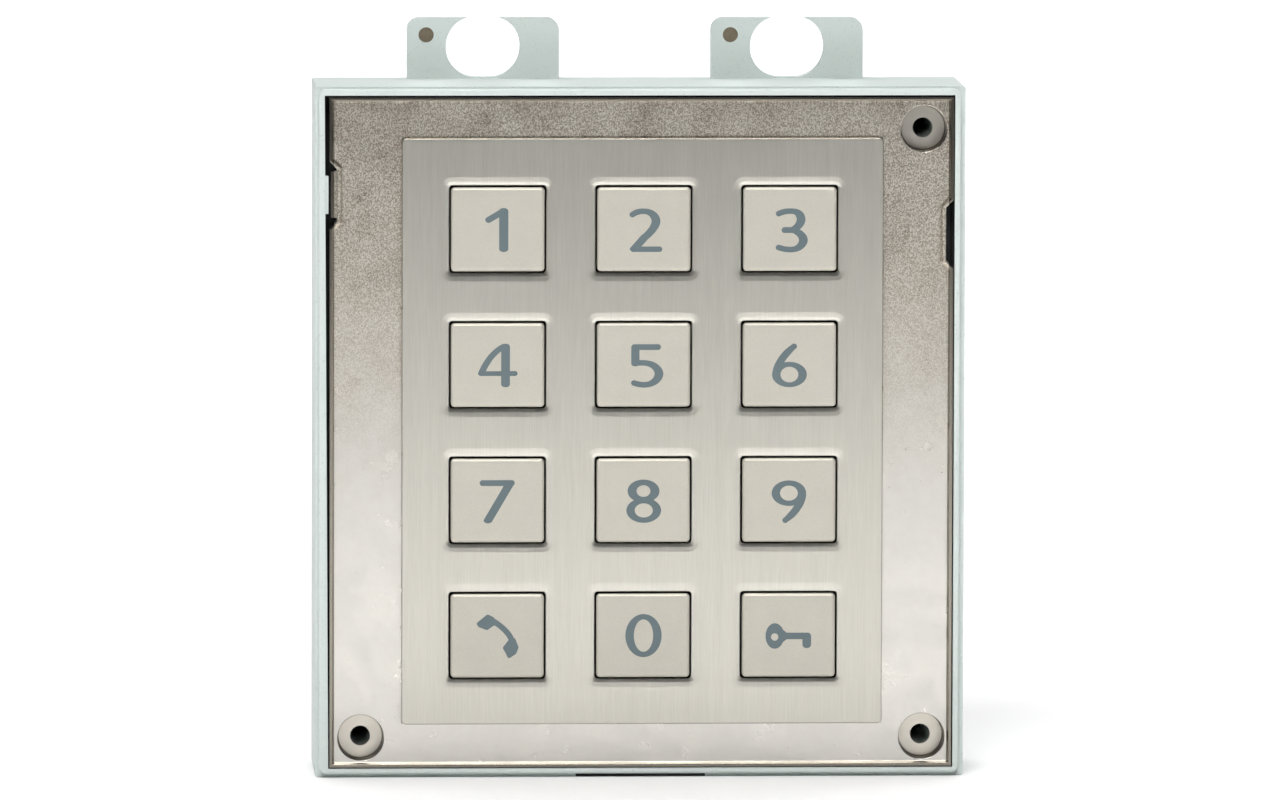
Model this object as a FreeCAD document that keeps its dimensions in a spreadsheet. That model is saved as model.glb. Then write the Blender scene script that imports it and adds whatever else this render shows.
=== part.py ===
import FreeCAD, Part
import math
import os
import re
import Sketcher
from FreeCAD import Placement, Rotation, Vector

# Keypad access reader, millimetres. X is to the right, Z is up and the front faces -Y.
# The origin is the centre of the flat rear face, and every "depth" is measured from that
# face towards the front, so a point at depth d lies at y = -d.

SIZES = {
    # rear case
    "case_width": 97.6,
    "case_height": 104.0,
    "case_depth": 21.0,
    "case_corner": 0.4,
    "rear_wall": 2.0,
    "cavity_width": 90.0,
    "cavity_height": 97.0,
    "cavity_corner": 2.0,
    "shelf_depth": 18.4,
    "lip_left": -48.35,
    "lip_right": 48.05,
    "lip_bottom": -51.4,
    "lip_top": 51.7,
    "lip_corner": 1.2,
    "lip_edge": 0.35,
    "front_depth": 22.2,
    "tray_left_top": -47.42,
    "tray_left_bottom": -46.87,
    "tray_right": 47.13,
    "tray_bottom": -50.62,
    "tray_top": 50.75,
    # ears on the top edge, with an oval opening that breaks out at the top
    "ear_pitch": 46.0,
    "ear_width": 23.0,
    "ear_root": 50.0,
    "ear_top": 61.2,
    "ear_corner": 1.9,
    "ear_thickness": 3.0,
    "ear_oval_radius": 4.6,
    "ear_oval_shift": 1.0,
    "ear_oval_height": 56.8,
    "ear_pin_left": 8.6,
    "ear_pin_height": 58.6,
    "ear_pin_radius": 1.15,
    "ear_pin_recess": 0.35,
    "ear_disc_left": 8.9,
    "ear_disc_height": 54.9,
    "ear_disc_radius": 1.85,
    "ear_disc_rise": 0.1,
    # snap tab inside the left wall, strip at the middle of the bottom edge
    "tab_left": -47.9,
    "tab_right": -46.85,
    "tab_corner": 0.1,
    "tab_bottom": 33.0,
    "tab_top": 38.7,
    "tab_low": 19.5,
    "tab_high": 21.9,
    "strip_width": 19.5,
    "strip_shift": 0.15,
    "strip_height": 0.4,
    "strip_length": 14.0,
    # shared corner radii, joins and clearances
    "tight_corner": 0.5,
    "soft_corner": 1.0,
    "round_corner": 1.5,
    "wide_corner": 2.0,
    "join": 0.5,
    "post_gap": 0.1,
    "beyond": 1.0,
    # through screws at three corners, measured from the plate's centre
    "screw_left": 42.1,
    "screw_right": 42.35,
    "screw_top": 45.65,
    "screw_bottom": 46.0,
    "screw_hole": 1.5,
    "seal_radius": 2.3,
    "seal_thickness": 0.8,
    "tube_radius": 3.2,
    "tube_depth": 17.1,
    "boss_recess": 4.1,
    # screws that hold the case to the plate
    "case_screw_x": 41.5,
    "case_screw_z": 19.0,
    "post_radius": 2.5,
    "case_post_radius": 3.9,
    "case_post_depth": 9.0,
    "case_screw_head": 2.3,
    "case_screw_sink": 2.6,
    "case_screw_seat": 5.5,
    "case_screw_rise": 2.0,
    "case_screw_hole": 1.35,
    "case_screw_shaft": 1.2,
    "case_screw_tip": 15.0,
    # connector bay in the rear wall
    "bay_width": 44.0,
    "bay_height": 20.0,
    "bay_z": -28.0,
    "bay_depth": 5.5,
    "bay_wall": 2.0,
    "window_width": 31.8,
    "window_height": 8.2,
    # front plate
    "plate_x": 0.13,
    "plate_z": 0.0,
    "plate_width": 93.7,
    "plate_height": 101.0,
    "plate_back": 19.2,
    "rim_width": 0.5,
    "rim_slope": 20.0,
    "rim_mitre": 0.21,
    "rim_edge": 0.18,
    "recess_depth": 21.4,
    "notch_depth": 1.15,
    "left_notch_z": 35.8,
    "left_notch_half": 5.05,
    "right_notch_z": 29.9,
    "right_notch_half": 5.1,
    "lug_half": 3.5,
    "lug_reach": 0.9,
    "lug_depth": 20.4,
    "panel_x": 0.25,
    "panel_z": 0.22,
    "panel_width": 72.3,
    "panel_height": 88.3,
    "panel_corner": 0.7,
    "panel_edge": 0.25,
    "panel_depth": 22.6,
    "hollow_width": 69.0,
    "hollow_height": 85.0,
    "hollow_depth": 20.4,
    "boss_radius": 3.8,
    "boss_depth": 17.2,
    "bore_radius": 3.45,
    "bore_floor": 18.4,
    "bore_edge": 0.15,
    # key grid, and openings with a rolled edge: wide and faint, then narrower and steeper
    "grid_x": 0.38,
    "grid_z": 0.12,
    "pitch_x": 21.9,
    "pitch_z": 20.4,
    "opening_width": 14.45,
    "opening_height": 13.05,
    "opening_corner": 0.45,
    "roll_reach": 1.3,
    "roll_fall": 0.03,
    "bend_reach": 0.6,
    "bend_fall": 0.1,
    "turn_reach": 0.12,
    "turn_fall": 0.22,
    # key caps
    "cap_width": 14.0,
    "cap_height": 12.6,
    "cap_corner": 0.55,
    "cap_front": 23.3,
    "cap_back": 19.4,
    "cap_round": 0.5,
    "flange_width": 16.2,
    "flange_height": 14.8,
    "flange_front": 20.2,
    "cap_hollow_width": 11.4,
    "cap_hollow_height": 10.0,
    "cap_hollow_depth": 21.8,
    "legend_back": 22.8,
    "legend_front": 23.22,
    # silicone mat
    "mat_width": 68.0,
    "mat_height": 84.0,
    "mat_front": 15.8,
    "dome_base": 5.4,
    "dome_top": 4.2,
    "dome_depth": 18.2,
    "dome_hollow_base": 4.4,
    "dome_hollow_top": 3.2,
    "dome_hollow_depth": 17.0,
    "plunger_width": 8.0,
    "plunger_height": 7.0,
    "plunger_depth": 21.7,
    "mat_hole": 3.0,
    # circuit board and what it carries
    "board_width": 76.0,
    "board_height": 92.0,
    "board_corner": 1.0,
    "board_back": 13.0,
    "board_front": 14.6,
    "board_hole": 1.2,
    "board_screw_head": 2.1,
    "board_screw_rise": 1.4,
    "board_screw_shaft": 0.95,
    "board_screw_tip": 18.6,
    "drive_radius": 1.0,
    "drive_sink": 0.8,
    "pilot_depth": 19.0,
    "led_shift": 2.7,
    "led_width": 2.0,
    "led_height": 1.2,
    "led_rise": 0.7,
    "chip_size": 10.0,
    "chip_rise": 1.4,
    "chip_x": 14.0,
    "chip_z": 4.0,
    "passive_width": 1.6,
    "passive_height": 0.8,
    "passive_rise": 0.7,
    "passive_pitch": 3.0,
    # bus sockets
    "socket_x": 8.6,
    "socket_width": 14.0,
    "socket_height": 7.6,
    "socket_back": 6.0,
    "socket_hollow_width": 12.0,
    "socket_hollow_height": 5.2,
    "socket_floor": 12.0,
    "pin_size": 0.64,
    "pin_pitch": 2.0,
    "pin_end": 10.2,
    # perimeter gasket
    "gasket_width": 93.2,
    "gasket_height": 100.4,
    "gasket_inner_width": 90.2,
    "gasket_inner_height": 97.6,
    "gasket_eyelet": 5.0,
    "gasket_hole": 3.85,
}

CLOSE = 0.01
COLUMNS = 3
ROWS = 4
PINS = 5
FOUR_CORNERS = [(1, 1), (-1, 1), (-1, -1), (1, -1)]
PASSIVE_ROWS = [(-20.0, 34.0, 6), (-24.0, 2.0, 5), (6.0, -38.0, 6)]

doc = FreeCAD.newDocument("KeypadAccessReader")
sheet = doc.addObject("Spreadsheet::Sheet", "Sizes")
for row, (alias, number) in enumerate(SIZES.items(), start=1):
    sheet.set(f"A{row}", alias)
    sheet.set(f"B{row}", str(number))
    sheet.setAlias(f"B{row}", alias)
doc.recompute()


# ---- formulas on the sheet ---------------------------------------------------------------

def formula(text):
    """The expression that reads each alias named in the text from the sheet."""
    return re.sub(r"[a-z][a-z_]+\b(?!\()", r"Sizes.\g<0>", text)


def value(text):
    return float(sheet.evalExpression(formula(text)))


def bind(item, prop, text):
    item.setExpression(prop, formula(text))


def place(item, x="0", depth="0", z="0"):
    bind(item, "Placement.Base.x", x)
    bind(item, "Placement.Base.y", f"-({depth})")
    bind(item, "Placement.Base.z", z)


# ---- sketches and sketch-based features ----------------------------------------------------

def new_body(name):
    body = doc.addObject("PartDesign::Body", name)
    body.Label = name
    return body


def origin_plane(body, role):
    return next(item for item in body.Origin.OriginFeatures if item.Role == role)


def front_sketch(body, name, depth):
    """A sketch seen from the front, in X and Z, at a depth from the rear face."""
    sketch = body.newObject("Sketcher::SketchObject", name)
    sketch.AttachmentSupport = [(origin_plane(body, "XZ_Plane"), "")]
    sketch.MapMode = "FlatFace"
    bind(sketch, "AttachmentOffset.Base.z", depth)
    return sketch


def dimension(sketch, kind, geometry, point, text):
    """Hold one point of the sketch at a distance from the sketch's origin."""
    index = sketch.addConstraint(Sketcher.Constraint(kind, -1, 1, geometry, point, value(text)))
    bind(sketch, f"Constraints[{index}]", text)


def circle(sketch, x, z, radius):
    centre = Vector(value(x), value(z), 0)
    index = sketch.addGeometry(Part.Circle(centre, Vector(0, 0, 1), value(radius)), False)
    dimension(sketch, "DistanceX", index, 3, x)
    dimension(sketch, "DistanceY", index, 3, z)
    size = sketch.addConstraint(Sketcher.Constraint("Radius", index, value(radius)))
    bind(sketch, f"Constraints[{size}]", radius)


def outline(sketch, corners):
    """A closed outline of straight lines through the corners."""
    points = [Vector(value(x), value(z), 0) for x, z in corners]
    ends = points[1:] + points[:1]
    lines = [
        sketch.addGeometry(Part.LineSegment(start, end), False)
        for start, end in zip(points, ends)
    ]
    for line, following in zip(lines, lines[1:] + lines[:1]):
        sketch.addConstraint(Sketcher.Constraint("Coincident", line, 2, following, 1))
    for line, (x, z) in zip(lines, corners):
        dimension(sketch, "DistanceX", line, 1, x)
        dimension(sketch, "DistanceY", line, 1, z)


def rounded_rectangle(sketch, left, right, bottom, top, radius):
    low_x, high_x = value(left), value(right)
    low_z, high_z = value(bottom), value(top)
    r = value(radius)
    sides = [
        Part.LineSegment(Vector(low_x + r, low_z, 0), Vector(high_x - r, low_z, 0)),
        Part.LineSegment(Vector(high_x, low_z + r, 0), Vector(high_x, high_z - r, 0)),
        Part.LineSegment(Vector(high_x - r, high_z, 0), Vector(low_x + r, high_z, 0)),
        Part.LineSegment(Vector(low_x, high_z - r, 0), Vector(low_x, low_z + r, 0)),
    ]
    centres = [(high_x - r, low_z + r), (high_x - r, high_z - r)]
    centres += [(low_x + r, high_z - r), (low_x + r, low_z + r)]
    lines = [sketch.addGeometry(side, False) for side in sides]
    arcs = []
    for turn, (x, z) in enumerate(centres):
        start = (turn - 1) * math.pi / 2
        full = Part.Circle(Vector(x, z, 0), Vector(0, 0, 1), r)
        arcs.append(sketch.addGeometry(Part.ArcOfCircle(full, start, start + math.pi / 2), False))
    for turn in range(4):
        following = lines[(turn + 1) % 4]
        sketch.addConstraint(Sketcher.Constraint("Tangent", lines[turn], 2, arcs[turn], 1))
        sketch.addConstraint(Sketcher.Constraint("Tangent", arcs[turn], 2, following, 1))
        direction = "Vertical" if turn % 2 else "Horizontal"
        sketch.addConstraint(Sketcher.Constraint(direction, lines[turn]))
    for arc in arcs[1:]:
        sketch.addConstraint(Sketcher.Constraint("Equal", arcs[0], arc))
    dimension(sketch, "DistanceY", lines[0], 1, bottom)
    dimension(sketch, "DistanceX", lines[1], 1, right)
    dimension(sketch, "DistanceY", lines[2], 1, top)
    dimension(sketch, "DistanceX", lines[3], 1, left)
    size = sketch.addConstraint(Sketcher.Constraint("Radius", arcs[0], r))
    bind(sketch, f"Constraints[{size}]", radius)


def centred_rectangle(sketch, width, height, radius, x="0", z="0"):
    rounded_rectangle(
        sketch,
        f"{x} - {width} / 2",
        f"{x} + {width} / 2",
        f"{z} - {height} / 2",
        f"{z} + {height} / 2",
        radius,
    )


def extrusion(kind, body, sketch, length):
    """A Pad grows from its sketch towards the front, a Pocket cuts towards the rear."""
    feature = body.newObject(f"PartDesign::{kind}", f"{sketch.Name}_{kind}")
    feature.Profile = sketch
    bind(feature, "Length", length)
    sketch.Visibility = False
    return feature


def pad(body, sketch, length):
    return extrusion("Pad", body, sketch, length)


def pocket(body, sketch, length):
    return extrusion("Pocket", body, sketch, length)


def edges_where(feature, test):
    """The names of the feature's edges whose bounding box passes the test."""
    names = []
    for number, edge in enumerate(feature.Shape.Edges, start=1):
        if test(edge.BoundBox):
            names.append(f"Edge{number}")
    return names


def dress(kind, body, base, test, prop, size):
    """A PartDesign Fillet or Chamfer on the edges of the base that pass the test."""
    doc.recompute()
    names = edges_where(base, test)
    if not names:
        raise RuntimeError(f"{body.Name}: no edge for the {kind}")
    feature = body.newObject(f"PartDesign::{kind}", f"{body.Name}_{kind}")
    feature.Base = (base, names)
    bind(feature, prop, size)
    return feature


def lies_at(box, depth):
    """True for an edge that lies flat at one depth."""
    return abs(box.YMin + depth) < CLOSE and abs(box.YMax + depth) < CLOSE


# ---- primitives and booleans ---------------------------------------------------------------

def towards_front(item, x, depth, z):
    """Stand a round primitive on the given depth with its axis towards the front."""
    item.Placement = Placement(Vector(), Rotation(Vector(1, 0, 0), 90))
    place(item, x, depth, z)
    return item


def cylinder(name, radius, low, high, x, z):
    item = doc.addObject("Part::Cylinder", name)
    bind(item, "Radius", radius)
    bind(item, "Height", f"{high} - ({low})")
    return towards_front(item, x, low, z)


def cone(name, low_radius, high_radius, low, high, x, z):
    item = doc.addObject("Part::Cone", name)
    bind(item, "Radius1", low_radius)
    bind(item, "Radius2", high_radius)
    bind(item, "Height", f"{high} - ({low})")
    return towards_front(item, x, low, z)


def block(name, width, height, low, high, x, z):
    """A box centred on x and z, from one depth to another."""
    item = doc.addObject("Part::Box", name)
    bind(item, "Length", width)
    bind(item, "Width", f"{high} - ({low})")
    bind(item, "Height", height)
    place(item, f"{x} - {width} / 2", high, f"{z} - {height} / 2")
    return item


def combined(kind, name, items):
    prop = "Links" if kind == "Part::Compound" else "Shapes"
    whole = doc.addObject(kind, name)
    setattr(whole, prop, items)
    whole.Label = name
    return whole


def fused(name, items):
    return combined("Part::MultiFuse", name, items)


def group(name, items):
    return combined("Part::Compound", name, items)


def cut(name, base, tool):
    whole = doc.addObject("Part::Cut", name)
    whole.Base = base
    whole.Tool = tool
    whole.Label = name
    return whole


def corner_positions(x, z, corners, centre_x="0", centre_z="0"):
    return [
        (f"{centre_x} + {right} * {x}", f"{centre_z} + {up} * {z}")
        for right, up in corners
    ]


def key_position(column, row):
    """The centre of one key, with column 0 at the left and row 0 at the top."""
    across = column - (COLUMNS - 1) / 2
    up = (ROWS - 1) / 2 - row
    return f"grid_x + {across} * pitch_x", f"grid_z + {up} * pitch_z"


THROUGH_SCREWS = [
    ("plate_x + screw_right", "plate_z + screw_top"),
    ("plate_x - screw_left", "plate_z - screw_bottom"),
    ("plate_x + screw_right", "plate_z - screw_bottom"),
]
CASE_SCREWS = corner_positions("case_screw_x", "case_screw_z", FOUR_CORNERS)
BOARD_POSTS = corner_positions("pitch_x / 2", "pitch_z", FOUR_CORNERS, "grid_x", "grid_z")


def circles(body, name, depth, positions, radius):
    sketch = front_sketch(body, name, depth)
    for x, z in positions:
        circle(sketch, x, z, radius)
    return sketch


# ---- rear case -------------------------------------------------------------------------------

def case_shell(body):
    """The tray: block, lip, the space for the plate and the space behind it."""
    sketch = front_sketch(body, "case_block", "0")
    centred_rectangle(sketch, "case_width", "case_height", "case_corner")
    pad(body, sketch, "case_depth")
    sketch = front_sketch(body, "case_lip", "case_depth")
    rounded_rectangle(sketch, "lip_left", "lip_right", "lip_bottom", "lip_top", "lip_corner")
    lip = pad(body, sketch, "front_depth - case_depth")
    front = value("front_depth")
    dress("Fillet", body, lip, lambda box: lies_at(box, front), "Radius", "lip_edge")
    sketch = front_sketch(body, "case_tray", "front_depth")
    outline(sketch, [
        ("tray_left_bottom", "tray_bottom"),
        ("tray_right", "tray_bottom"),
        ("tray_right", "tray_top"),
        ("tray_left_top", "tray_top"),
    ])
    pocket(body, sketch, "front_depth - shelf_depth")
    sketch = front_sketch(body, "case_cavity", "shelf_depth")
    centred_rectangle(sketch, "cavity_width", "cavity_height", "cavity_corner")
    pocket(body, sketch, "shelf_depth - rear_wall")


def case_tubes(body):
    """The tubes of the through screws and the posts of the case screws."""
    sketch = circles(body, "case_tube", "rear_wall", THROUGH_SCREWS, "tube_radius")
    pad(body, sketch, "tube_depth - rear_wall")
    sketch = circles(body, "boss_space", "shelf_depth", THROUGH_SCREWS, "boss_recess")
    pocket(body, sketch, "shelf_depth - tube_depth")
    sketch = circles(body, "tube_bore", "tube_depth", THROUGH_SCREWS, "screw_hole")
    pocket(body, sketch, "tube_depth")
    sketch = circles(body, "seal_seat", "seal_thickness", THROUGH_SCREWS, "seal_radius")
    pocket(body, sketch, "seal_thickness")
    sketch = circles(body, "case_post", "rear_wall", CASE_SCREWS, "case_post_radius")
    pad(body, sketch, "case_post_depth - rear_wall")
    sketch = circles(body, "case_post_hole", "case_post_depth", CASE_SCREWS, "case_screw_hole")
    pocket(body, sketch, "case_post_depth")
    sketch = circles(body, "case_post_sink", "case_screw_seat", CASE_SCREWS, "case_screw_sink")
    pocket(body, sketch, "case_screw_seat")


def case_bay(body):
    """The bay in the rear wall, with a window for the bus sockets."""
    sketch = front_sketch(body, "bay_block", "rear_wall")
    wide, high = "(bay_width + 2 * bay_wall)", "(bay_height + 2 * bay_wall)"
    centred_rectangle(sketch, wide, high, "wide_corner", "0", "bay_z")
    pad(body, sketch, "bay_depth + bay_wall - rear_wall")
    sketch = front_sketch(body, "bay_space", "bay_depth")
    centred_rectangle(sketch, "bay_width", "bay_height", "round_corner", "0", "bay_z")
    pocket(body, sketch, "bay_depth")
    sketch = front_sketch(body, "bay_window", "bay_depth + bay_wall")
    centred_rectangle(sketch, "window_width", "window_height", "tight_corner", "0", "bay_z")
    pocket(body, sketch, "bay_wall")


def case_ears(body):
    """Two ears on the top edge, flush with the rear face."""
    for side, name in ((-1, "left"), (1, "right")):
        middle = f"{side} * ear_pitch / 2"
        sketch = front_sketch(body, f"{name}_ear", "0")
        rounded_rectangle(
            sketch,
            f"{middle} - ear_width / 2",
            f"{middle} + ear_width / 2",
            "ear_root",
            "ear_top",
            "ear_corner",
        )
        pad(body, sketch, "ear_thickness")
        sketch = front_sketch(body, f"{name}_ear_oval", "ear_thickness")
        low = "ear_oval_height - ear_oval_radius"
        high = "ear_oval_height + ear_oval_radius"
        reach = "ear_oval_shift + ear_oval_radius"
        # the oval's corner arcs just fall short of half its height, so it keeps its short sides
        rounded_rectangle(
            sketch,
            f"{middle} - ({reach})",
            f"{middle} + {reach}",
            low,
            high,
            "0.98 * ear_oval_radius",
        )
        pocket(body, sketch, "ear_thickness")
        sketch = front_sketch(body, f"{name}_ear_disc", "ear_thickness")
        circle(sketch, f"{middle} - ear_disc_left", "ear_disc_height", "ear_disc_radius")
        pad(body, sketch, "ear_disc_rise")
        sketch = front_sketch(body, f"{name}_ear_hole", "ear_thickness")
        circle(sketch, f"{middle} - ear_pin_left", "ear_pin_height", "ear_pin_radius")
        pocket(body, sketch, "ear_thickness")


def rear_case():
    body = new_body("rear_case")
    case_shell(body)
    case_tubes(body)
    case_bay(body)
    case_ears(body)
    sketch = front_sketch(body, "snap_tab", "tab_low")
    rounded_rectangle(sketch, "tab_left", "tab_right", "tab_bottom", "tab_top", "tab_corner")
    pad(body, sketch, "tab_high - tab_low")
    sketch = front_sketch(body, "strip_recess", "case_depth")
    outline(sketch, [
        ("strip_shift - strip_width / 2", "-1 * case_height / 2 - beyond"),
        ("strip_shift + strip_width / 2", "-1 * case_height / 2 - beyond"),
        ("strip_shift + strip_width / 2", "strip_height - case_height / 2"),
        ("strip_shift - strip_width / 2", "strip_height - case_height / 2"),
    ])
    pocket(body, sketch, "strip_length")
    return body


# ---- front plate -----------------------------------------------------------------------------

def plate_outline(sketch, inset, mitre):
    """The plate's edge with a notch in each side, moved inwards by the inset."""
    left = f"plate_x - plate_width / 2 + {inset}"
    right = f"plate_x + plate_width / 2 - {inset}"
    bottom = f"plate_z - plate_height / 2 + {inset}"
    top = f"plate_z + plate_height / 2 - {inset}"
    left_half = f"left_notch_half + {mitre}"
    right_half = f"right_notch_half + {mitre}"
    outline(sketch, [
        (left, bottom),
        (right, bottom),
        (right, f"right_notch_z - ({right_half})"),
        (f"{right} - notch_depth", f"right_notch_z - ({right_half}) + notch_depth"),
        (f"{right} - notch_depth", f"right_notch_z + {right_half} - notch_depth"),
        (right, f"right_notch_z + {right_half}"),
        (right, top),
        (left, top),
        (left, f"left_notch_z + {left_half}"),
        (f"{left} + notch_depth", f"left_notch_z + {left_half} - notch_depth"),
        (f"{left} + notch_depth", f"left_notch_z - ({left_half}) + notch_depth"),
        (left, f"left_notch_z - ({left_half})"),
    ])


def opening_outline(body, name, fall, reach):
    """The lower left opening's outline, moved out by the reach, below the panel's face."""
    x, z = key_position(0, ROWS - 1)
    sketch = front_sketch(body, name, f"panel_depth - {fall}")
    centred_rectangle(
        sketch,
        f"(opening_width + 2 * {reach})",
        f"(opening_height + 2 * {reach})",
        f"opening_corner + {reach}",
        x,
        z,
    )
    return sketch


def rolled_edge(body, name, top, bottom, reach, next_reach):
    """A shallow dip round the opening that narrows from one reach to the next as it falls."""
    dip = body.newObject("PartDesign::SubtractiveLoft", name)
    dip.Profile = opening_outline(body, f"{name}_outer", top, reach)
    dip.Sections = [opening_outline(body, f"{name}_inner", bottom, next_reach)]
    dip.Ruled = True
    return dip


def key_grid(body, originals, sketch):
    """Repeat what was made for the lower left key over all columns and rows."""
    doc.recompute()
    repeat = body.newObject("PartDesign::MultiTransform", f"{body.Name}_grid")
    repeat.Originals = originals
    steps = []
    for axis, pitch, count in (("H_Axis", "pitch_x", COLUMNS), ("V_Axis", "pitch_z", ROWS)):
        step = doc.addObject("PartDesign::LinearPattern", f"{body.Name}_{pitch}")
        body.addObject(step)
        step.Direction = (sketch, [axis])
        bind(step, "Length", f"{count - 1} * {pitch}")
        step.Occurrences = count
        steps.append(step)
    repeat.Transformations = steps
    body.Tip = repeat
    doc.recompute()
    return repeat


def plate_posts(body):
    """Bosses and posts on the back of the plate, and the bores in them."""
    sketch = circles(body, "screw_boss", "boss_depth", THROUGH_SCREWS, "boss_radius")
    pad(body, sketch, "plate_back - boss_depth + join")
    sketch = circles(body, "case_screw_post", "case_post_depth + post_gap", CASE_SCREWS, "post_radius")
    pad(body, sketch, "plate_back - case_post_depth")
    sketch = circles(body, "board_post", "board_front", BOARD_POSTS, "post_radius")
    pad(body, sketch, "hollow_depth - board_front + join")
    sketch = circles(body, "case_screw_pilot", "case_screw_tip", CASE_SCREWS, "case_screw_shaft")
    pocket(body, sketch, "case_screw_tip - case_post_depth")
    sketch = circles(body, "board_pilot", "pilot_depth", BOARD_POSTS, "board_screw_shaft")
    pocket(body, sketch, "pilot_depth - board_front")
    sketch = circles(body, "counterbore", "front_depth", THROUGH_SCREWS, "bore_radius")
    pocket(body, sketch, "front_depth - bore_floor")
    sketch = circles(body, "screw_bore", "bore_floor", THROUGH_SCREWS, "screw_hole")
    return pocket(body, sketch, "bore_floor - boss_depth")


def front_plate():
    body = new_body("front_plate")
    sketch = front_sketch(body, "plate_edge", "plate_back")
    plate_outline(sketch, "0", "0")
    pad(body, sketch, "front_depth - plate_back")
    sketch = front_sketch(body, "plate_recess", "front_depth")
    plate_outline(sketch, "rim_width", "rim_mitre")
    recess = pocket(body, sketch, "front_depth - recess_depth")
    bind(recess, "TaperAngle", "-1 * rim_slope")
    front = value("front_depth")
    rim = dress("Fillet", body, recess, lambda box: lies_at(box, front), "Radius",
                "rim_edge")
    body.Tip = rim
    sketch = front_sketch(body, "panel", "recess_depth")
    centred_rectangle(sketch, "panel_width", "panel_height", "panel_corner", "panel_x", "panel_z")
    panel = pad(body, sketch, "panel_depth - recess_depth")
    face = value("panel_depth")
    panel = dress("Fillet", body, panel, lambda box: lies_at(box, face), "Radius",
                  "panel_edge")
    body.Tip = panel
    sketch = front_sketch(body, "panel_hollow", "hollow_depth")
    centred_rectangle(sketch, "hollow_width", "hollow_height", "soft_corner", "panel_x",
                      "panel_z")
    pocket(body, sketch, "hollow_depth - plate_back")
    sketch = front_sketch(body, "notch_lug", "plate_back")
    edge = "plate_x - plate_width / 2 + notch_depth"
    outline(sketch, [
        (f"{edge} - lug_reach", "left_notch_z - lug_half"),
        (f"{edge} + join", "left_notch_z - lug_half"),
        (f"{edge} + join", "left_notch_z + lug_half"),
        (f"{edge} - lug_reach", "left_notch_z + lug_half"),
    ])
    pad(body, sketch, "lug_depth - plate_back")
    sketch = front_sketch(body, "key_opening", "panel_depth")
    x, z = key_position(0, ROWS - 1)
    centred_rectangle(sketch, "opening_width", "opening_height", "opening_corner", x, z)
    opening = pocket(body, sketch, "panel_depth - hollow_depth")
    edges = [
        rolled_edge(body, "opening_roll", "0", "roll_fall", "roll_reach", "bend_reach"),
        rolled_edge(body, "opening_bend", "roll_fall", "bend_fall", "bend_reach", "turn_reach"),
        rolled_edge(body, "opening_turn", "bend_fall", "turn_fall", "turn_reach", "0"),
    ]
    key_grid(body, [opening] + edges, sketch)
    bores = plate_posts(body)
    recess_floor = value("recess_depth")
    radius = value("bore_radius")
    rounded = dress(
        "Fillet",
        body,
        bores,
        lambda box: lies_at(box, recess_floor) and abs(box.XLength - 2 * radius) < CLOSE,
        "Radius",
        "bore_edge",
    )
    body.Tip = rounded
    return body


# ---- gasket and circuit board ----------------------------------------------------------------

def perimeter_gasket():
    """A flat ring behind the plate, with an eyelet round each screw boss."""
    body = new_body("perimeter_gasket")
    thickness = "plate_back - shelf_depth"
    sketch = front_sketch(body, "gasket_edge", "shelf_depth")
    centred_rectangle(sketch, "gasket_width", "gasket_height", "soft_corner")
    pad(body, sketch, thickness)
    sketch = front_sketch(body, "gasket_inside", "plate_back")
    centred_rectangle(sketch, "gasket_inner_width", "gasket_inner_height", "wide_corner")
    pocket(body, sketch, thickness)
    sketch = circles(body, "gasket_eyelet", "shelf_depth", THROUGH_SCREWS, "gasket_eyelet")
    pad(body, sketch, thickness)
    sketch = circles(body, "gasket_hole", "plate_back", THROUGH_SCREWS, "gasket_hole")
    pocket(body, sketch, thickness)
    edge = front_sketch(body, "gasket_trim", "plate_back")
    centred_rectangle(edge, "(gasket_width + 20 * beyond)", "(gasket_height + 20 * beyond)",
                      "soft_corner")
    centred_rectangle(edge, "gasket_width", "gasket_height", "soft_corner")
    trim = pocket(body, edge, thickness)
    body.Tip = trim
    return body


def circuit_board():
    body = new_body("circuit_board")
    sketch = front_sketch(body, "board_edge", "board_back")
    centred_rectangle(sketch, "board_width", "board_height", "board_corner")
    for x, z in BOARD_POSTS:
        circle(sketch, x, z, "board_hole")
    pad(body, sketch, "board_front - board_back")
    return body


def board_parts():
    """LEDs under the domes, the controller and rows of small parts behind the board."""
    leds = []
    for row in range(ROWS):
        for column in range(COLUMNS):
            x, z = key_position(column, row)
            leds.append(block(
                f"led_{row}_{column}",
                "led_width",
                "led_height",
                "board_front",
                "board_front + led_rise",
                f"{x} + led_shift",
                z,
            ))
    chip = block("microcontroller", "chip_size", "chip_size", "board_back - chip_rise",
                 "board_back", "chip_x", "chip_z")
    chip.Label = "microcontroller"
    passives = []
    for left, z, count in PASSIVE_ROWS:
        for number in range(count):
            passives.append(block(
                f"passive_{len(passives)}",
                "passive_width",
                "passive_height",
                "board_back - passive_rise",
                "board_back",
                f"{left} + {number} * passive_pitch",
                f"{z}",
            ))
    return [group("backlight_leds", leds), chip, group("passive_components", passives)]


def bus_sockets():
    """Two five-pin sockets that open towards the rear."""
    parts = []
    for side, name in ((-1, "left"), (1, "right")):
        x = f"{side} * socket_x"
        shell = block(f"{name}_shell", "socket_width", "socket_height", "socket_back",
                      "board_back", x, "bay_z")
        hollow = block(f"{name}_hollow", "socket_hollow_width", "socket_hollow_height",
                       "socket_back", "socket_floor", x, "bay_z")
        parts.append(cut(f"{name}_bus_socket", shell, hollow))
        pins = [
            block(f"{name}_pin_{number}", "pin_size", "pin_size", "pin_end", "socket_floor",
                  f"{x} + {number - (PINS - 1) / 2} * pin_pitch", "bay_z")
            for number in range(PINS)
        ]
        parts.append(group(f"{name}_socket_pins", pins))
    return parts


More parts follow.
